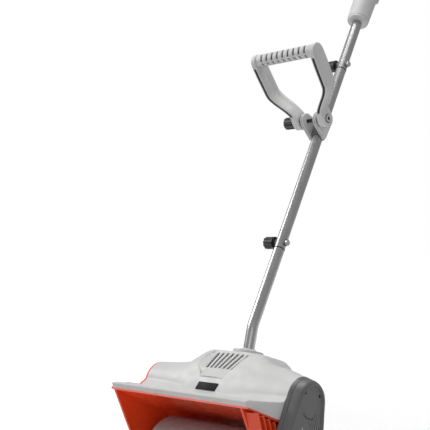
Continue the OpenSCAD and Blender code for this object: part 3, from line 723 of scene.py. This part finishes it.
def belt_side():
    case = lobe_skin("belt_case_skin", [(0.6, 6.4, 185.1), (0.0, 6.4, 185.8), (0.0, 4.4, 192.2),
                                        (0.7, 4.4, 193.0)])
    bake(case, 40)
    piece(case, "belt_case", DARK)
    cover = lobe_skin("belt_cover_skin", [
        (0.7, 4.0, 193.3), (0.0, 4.0, 194.0), (0.2, 2.0, 203.0), (0.9, 1.0, 206.4),
        (2.4, 0.6, 208.6), (4.2, 0.5, 209.7), (5.6, 0.5, 209.9), (7.2, 0.5, 209.7),
        (8.0, 0.5, 208.6), (8.4, 0.5, 207.4), (9.0, 0.5, 207.0)])
    bake(cover, 24)
    for y, z in COVER_SCREWS:
        cut(cover, turned("tool", [(3.3, 203.0), (3.3, 214.0)],
                          Matrix.Translation((0, y, z)), axis="X", steps=24))
    bake(cover, 24)
    piece(cover, "belt_cover", DARK)
    screws = []
    for y, z in COVER_SCREWS:
        profile = [(0.9, 202.2), (1.2, 203.6), (2.5, 204.4), (2.9, 204.2), (2.9, 202.0),
                   (0.9, 202.0)]
        screw = turned("screw", profile, Matrix.Translation((0, y, z)), axis="X", steps=24)
        screws.append(bake(screw))
    piece(join("cover_screw_heads", screws), "cover_screws", BLACK_STEEL)
    panel = []
    for i in range(5):
        y = 31.0 + 5.2 * i
        top = 152.0 + 2.0 * i
        ends = ((96.0 + 8 * i, 98.0 + 8 * i), (top, top - 2))
        rib = loft("rib", [[(206.6, y - 1.3, z0), (206.6, y + 1.3, z0), (208.2, y + 0.7, z1),
                            (208.2, y - 0.7, z1)] for z0, z1 in ends])
        panel.append(bake(rib))
    piece(join("cover_ribs", panel), "belt_cover", DARK_RIM, replaces=False)
    dots = []
    for i in range(6):
        a = math.radians(198 + 11 * i)
        place = Matrix.Translation((0, MOTOR_C[0] + DOTS_R * math.cos(a),
                                    MOTOR_C[1] + DOTS_R * math.sin(a)))
        profile = [(1.2, 206.8), (1.2, 207.7), (0.8, 208.1), (0.2, 208.2)]
        dots.append(bake(turned("dot", profile, place, axis="X", steps=16)))
    piece(join("cover_dots", dots), "belt_cover", BLACK, replaces=False)
    stripe = loft("cover_stripe", [[(206.8, y - 0.9, z), (206.8, y + 0.9, z),
                                    (207.5, y + 0.9, z), (207.5, y - 0.9, z)]
                                   for y, z in ((-22.0, 96.0), (10.0, 150.0))])
    piece(bake(stripe), "belt_cover", LIGHT, replaces=False)


# ---------------------------------------------------------------- kept CAD nodes


def bevelled(node, width, segments=3, angle=30):
    """Keeps a CAD node and rounds its edges."""
    return bevel(frame["nodes"][node], width, segments, angle)


def round_cad():
    for node, width in (("scoop_shell", 0.7), ("right_side_wall", 1.0), ("left_side_wall", 1.0),
                        ("scraper_bar", 0.6), ("rotor_drum", 0.8), ("middle_tube", 0.4),
                        ("upper_tube", 0.4), ("joint_saddles", 0.8), ("joint_bolts", 0.9),
                        ("joint_rings", 0.3), ("tooth_washers", 0.6), ("pivot_knob", 1.0),
                        ("lower_joint_knob", 1.0), ("upper_joint_knob", 1.0), ("trigger", 1.8),
                        ("lock_off_button", 1.2), ("socket_screws", 0.5), ("terminal_block", 0.8),
                        ("rotor_pulley", 0.5), ("shell_screws", 0.2), ("rear_shell_left", 1.2),
                        ("rear_shell_right", 1.2), ("neck_collar", 1.2),
                        ("battery_latch", 1.0), ("rotor_paddles", 0.6)):
        bevelled(node, width)


# ---------------------------------------------------------------- tube and socket


SOCKET_SCREWS_R = 22.5


def tube_socket():
    """Flange and boss round the stub of the tube, as (radius, height), with four sunk screws."""
    profile = [(11.05, -5.7), (28.6, -5.8), (29.4, -5.2), (29.5, -1.2), (29.1, 0.1), (28.0, 0.8),
               (24.0, 1.1), (18.5, 1.5), (16.2, 2.1), (14.9, 3.2), (14.2, 3.9), (13.2, 4.1),
               (11.9, 4.1), (11.05, 3.6)]
    obj = turned("tube_socket_skin", profile, STUB, steps=72, closed=True)
    bake(obj, 40)
    for a in (45, 135, 225, 315):
        turn = Matrix.Rotation(math.radians(a), 4, "Z")
        place = STUB @ turn @ Matrix.Translation((SOCKET_SCREWS_R, 0, 0))
        cut(obj, turned("tool", [(4.1, -1.1), (4.1, 8.0)], place, steps=24))
    bake(obj, 40)
    return piece(obj, "tube_socket", LIGHT)


def lower_tube():
    """Bent lower tube with a smooth elbow instead of the mitre."""
    radius, half = ELBOW_R, (TUBE_TILT - STUB_TILT) / 2
    reach = radius * math.tan(half)
    tube_dir = Vector((0.0, math.sin(TUBE_TILT), math.cos(TUBE_TILT)))
    rings = []
    stops = [(SEAT - TUBE_IN * STUB_DIR, STUB_TILT), (SEAT, STUB_TILT),
             (BEND - reach * STUB_DIR, STUB_TILT)]
    start = BEND - reach * STUB_DIR
    centre = start + radius * Vector((0.0, math.cos(STUB_TILT), -math.sin(STUB_TILT)))
    for i in range(1, 12):
        tilt = STUB_TILT + 2 * half * i / 12
        stops.append((centre - radius * Vector((0.0, math.cos(tilt), -math.sin(tilt))), tilt))
    stops += [(BEND + s * tube_dir, TUBE_TILT) for s in (reach, 60.0, JOINTS_S[0] - 1.2)]
    for at, tilt in stops:
        side = Vector((0.0, math.cos(tilt), -math.sin(tilt)))
        rings.append([tuple(at + TUBE_R * (math.cos(a) * Vector((1, 0, 0)) + math.sin(a) * side))
                      for a in (2 * math.pi * k / 64 for k in range(64))])
    obj = loft("lower_tube_skin", rings)
    bake(obj, 40)
    return piece(obj, "lower_tube", TUBE_METAL)


# ---------------------------------------------------------------- front handle

EYE_X = 32.5
ARM_TOP = GRIP_H + 14.0
GRIP_SLOTS = 9


def arm_middle(z):
    return EYE_X + (ARM_X - EYE_X) * (0.87 * ease((z - 12) / 66) + 0.13 * max(0.0, z) / GRIP_H)


def arm_section(z):
    """Middle across the width, half thickness, front and back of an arm at height z."""
    if z < 0:
        reach = math.sqrt(max(0.5, 17.0 ** 2 - z * z))
        front, back = -reach, reach
    else:
        front = -along([(0, 17.0), (10, 16.0), (60, 17.0), (120, 18.0), (150, 17.5)], z)
        back = along([(0, 17.0), (10, 16.4), (60, 20.0), (120, 20.0), (150, 18.5)], z)
    top_round = 20.0
    if z > ARM_TOP - top_round:
        k = math.sqrt(max(0.0, 1 - ((z - ARM_TOP + top_round) / top_round) ** 2))
        front, back = front * k, back * k
    half = along([(-17, 8.3), (9, 8.3), (24, 5.5), (400, 5.5)], z)
    return arm_middle(z), half, front, back


def arm_ring(z, side):
    mid, half, front, back = arm_section(z)
    depth = back - front
    groove = 2.4 * ease((z - 18) / 6) * ease((GRIP_H - 8 - z) / 6)
    sunk = 0.9 * ease((z - 34) / 8) * ease((112 - z) / 8)
    r = min(1.7, depth * 0.3)
    outline = [(half, front + r), (half, back - r), (half - r * 0.3, back - r * 0.3),
               (half - r, back), (-half + r, back), (-half + r * 0.3, back - r * 0.3),
               (-half, back - r),
               (-half, back - depth * 0.25), (-half + sunk, back - depth * 0.25 - 0.6),
               (-half + sunk, front + depth * 0.3 + 0.6), (-half, front + depth * 0.3),
               (-half, front + r), (-half + r * 0.3, front + r * 0.3), (-half + min(r, 1.4), front),
               (-2.9, front), (-2.7, front + groove), (2.7, front + groove), (2.9, front),
               (half - min(r, 1.4), front), (half - r * 0.3, front + r * 0.3)]
    return [(side * (mid + x), y, z) for x, y in outline]


def grip_ring(x, outline):
    """Outline round the grip's middle line, at x."""
    return ring_at(x, [(y, GRIP_H + z) for y, z in outline])


def grip_section(radius):
    """Rounded diamond whose corner points forwards."""
    power = 1.62
    out = []
    for k in range(48):
        a = 2 * math.pi * k / 48
        scale = (abs(math.cos(a)) ** power + abs(math.sin(a)) ** power) ** (-1 / power)
        out.append((radius * scale * math.cos(a), radius * scale * math.sin(a)))
    return out


def front_handle():
    heights = [-16.9, -16, -14, -11, -7, -3, 0, 4, 9, 13, 17, 20, 22, 24, 27]
    heights += [30 + 3 * i for i in range(38)]
    heights += [ARM_TOP - 20 + d for d in (1, 4, 7, 10, 13, 15.5, 17.5, 19, 19.7, 19.95)]
    heights = sorted(h for h in set(heights) if h < ARM_TOP)
    parts = []
    for side in (-1, 1):
        arm = loft("arm", [arm_ring(z, side) for z in heights], HANDLE)
        bake(arm, 40)
        parts.append(arm)
    reach = ARM_X - 5.0
    slots = [14 * (i - (GRIP_SLOTS - 1) / 2) for i in range(GRIP_SLOTS)]
    edges = [-reach] + [v for x in slots for v in (x - 1.9, x + 1.9)] + [reach]
    for x0, x1 in zip(edges[::2], edges[1::2]):
        steps = [(x0, 12.2), (x0 + 0.9, 13.4), (x1 - 0.9, 13.4), (x1, 12.2)]
        rib = loft("rib", [grip_ring(x, grip_section(r)) for x, r in steps], HANDLE)
        parts.append(bake(rib, 40))
    edge = [(-13.2, -1.3), (-13.2, 1.3), (-9.5, 1.6), (-9.5, -1.6)]
    ridge = loft("ridge", [grip_ring(x, edge) for x in (-reach, reach)], HANDLE)
    parts.append(bake(ridge))
    piece(join("front_handle_skin", parts), "front_handle_frame", LIGHT_B)
    core = loft("grip_core", [grip_ring(x, grip_section(11.2))
                              for x in (-reach - 0.5, reach + 0.5)], HANDLE)
    piece(bake(core), "front_grip_bands", SOFT)
    strips = []
    for side in (-1, 1):
        rings = []
        z = 20.0
        while z < GRIP_H - 8:
            for step, depth in ((0.0, 1.0), (0.5, 0.35), (2.6, 0.35), (3.1, 1.0)):
                mid, half, front, back = arm_section(z + step)
                rings.append([(side * (mid + x), front + y, z + step)
                              for x, y in ((-2.6, depth), (2.6, depth), (2.6, 3.0), (-2.6, 3.0))])
            z += 4.0
        strips.append(bake(loft("strip", rings, HANDLE)))
    piece(join("front_trim_skin", strips), "front_arm_trims", SOFT)


# ---------------------------------------------------------------- clamp


def hull_of(circles):
    """Outline round several circles, given as (y, z, radius)."""
    points = []
    for y, z, r in circles:
        points += [(y + r * math.cos(2 * math.pi * k / 56), z + r * math.sin(2 * math.pi * k / 56))
                   for k in range(56)]
    points = sorted(set(points))

    def half(seq):
        out = []
        for p in seq:
            while len(out) > 1 and ((out[-1][0] - out[-2][0]) * (p[1] - out[-2][1])
                                    - (out[-1][1] - out[-2][1]) * (p[0] - out[-2][0])) <= 0:
                out.pop()
            out.append(p)
        return out[:-1]
    return half(points) + half(points[::-1])


CLAMP = TUBE @ Matrix.Translation((0, 0, PIVOT_S))


def plate(circles, x0, x1, side, width):
    outline = hull_of(circles)
    obj = prism("plate", outline, min(side * x0, side * x1), max(side * x0, side * x1), CLAMP)
    bevel(obj, width, 3)
    return bake(obj, 40)


def clamp_plates():
    shape = [(-32.0, 0.0, 16.5), (0.5, 13.0, 6.0), (-0.5, -22.0, 4.6)]
    inner = [(y, z, r - 1.6) for y, z, r in shape]
    for name, side in (("clamp_right", 1), ("clamp_left", -1)):
        layers = [plate(shape, 12.4, 15.3, side, 0.8), plate(shape, 16.5, 20.0, side, 1.1)]
        piece(join(name + "_skin", layers), name, LIGHT_B)
        gasket = piece(plate(inner, 14.8, 17.0, side, 0.2), name, BLACK, replaces=False)
        gasket.name = name + "_gasket"
    profile = [(11.1, -21.0), (14.2, -21.0), (15.0, -20.0), (15.0, 13.0), (14.2, 14.0), (11.1, 14.0)]
    wrap = turned("clamp_sleeve_skin", profile, CLAMP, steps=64, closed=True)
    piece(bake(wrap, 40), "clamp_sleeve", DARK)


def pivot_bolt():
    shaft = turned("shaft", [(3.9, -54.0), (3.9, 38.0)], HANDLE, axis="X", steps=32)
    flange = turned("flange", [(9.4, 40.4), (9.4, 41.2), (8.6, 41.7), (3.0, 41.7)], HANDLE,
                    axis="X", steps=48)
    piece(join("pivot_bolt_skin", [bake(shaft), bake(flange)]), "pivot_bolt", BLACK_STEEL)
    profile = [(4.2, 41.0), (7.7, 41.0), (7.7, 42.6), (7.0, 43.3), (4.8, 43.3), (4.2, 42.7)]
    cap = turned("pivot_cap", profile, HANDLE, axis="X", steps=48, closed=True)
    piece(bake(cap, 40), "pivot_bolt", LIGHT_B, replaces=False)


# ---------------------------------------------------------------- battery

BATTERY_HALF = (38.0, 56.0)
BATTERY_Y = 6.0
BATTERY_S = 1009.0
BATTERY_T = 36.0


def battery_ring(s, inset, corner=8.0):
    """Rounded rectangle round the battery, lying inset inside its case."""
    points = []
    for quarter, (sx, sy) in enumerate(((1, 1), (-1, 1), (-1, -1), (1, -1))):
        cx, cy = sx * (BATTERY_HALF[0] - corner), BATTERY_Y + sy * (BATTERY_HALF[1] - corner)
        for k in range(7):
            a = math.radians(90 * quarter + 15 * k)
            r = corner - inset
            points.append((cx + r * math.cos(a), cy + r * math.sin(a), BATTERY_S + s))
    return points


def battery():
    steps = [(0.0, 1.6), (0.5, 0.5), (1.6, 0.0), (26.6, 0.0), (26.8, 0.9), (31.2, 0.9), (31.4, 0.0),
             (BATTERY_T - 3.0, 0.0), (BATTERY_T - 1.2, 0.7), (BATTERY_T, 2.8)]
    obj = bake(loft("battery_skin", [battery_ring(s, inset) for s, inset in steps], TUBE), 40)
    edge = BATTERY_Y - BATTERY_HALF[1]
    opening = [(edge - 2, BATTERY_S + 8), (edge + 3, BATTERY_S + 8), (edge + 3, BATTERY_S + 24),
               (edge - 2, BATTERY_S + 24)]
    cut(obj, prism("tool", opening, -8.0, 8.0, TUBE))
    piece(bake(obj, 40), "battery_case", WHITE)
    band = loft("battery_band", [battery_ring(s, inset) for s, inset in
                                 ((26.9, 1.0), (27.0, 0.3), (31.0, 0.3), (31.1, 1.0))], TUBE)
    return piece(bake(band, 40), "battery_case", BLACK, replaces=False)


# ---------------------------------------------------------------- build

dress_cad()
studio()
round_cad()
top_cover()
hood_end()
rear_cover()
left_end()
lip_edge()
badge()
belt_side()
tube_socket()
lower_tube()
front_handle()
clamp_plates()
pivot_bolt()
battery()

bpy.context.view_layer.update()
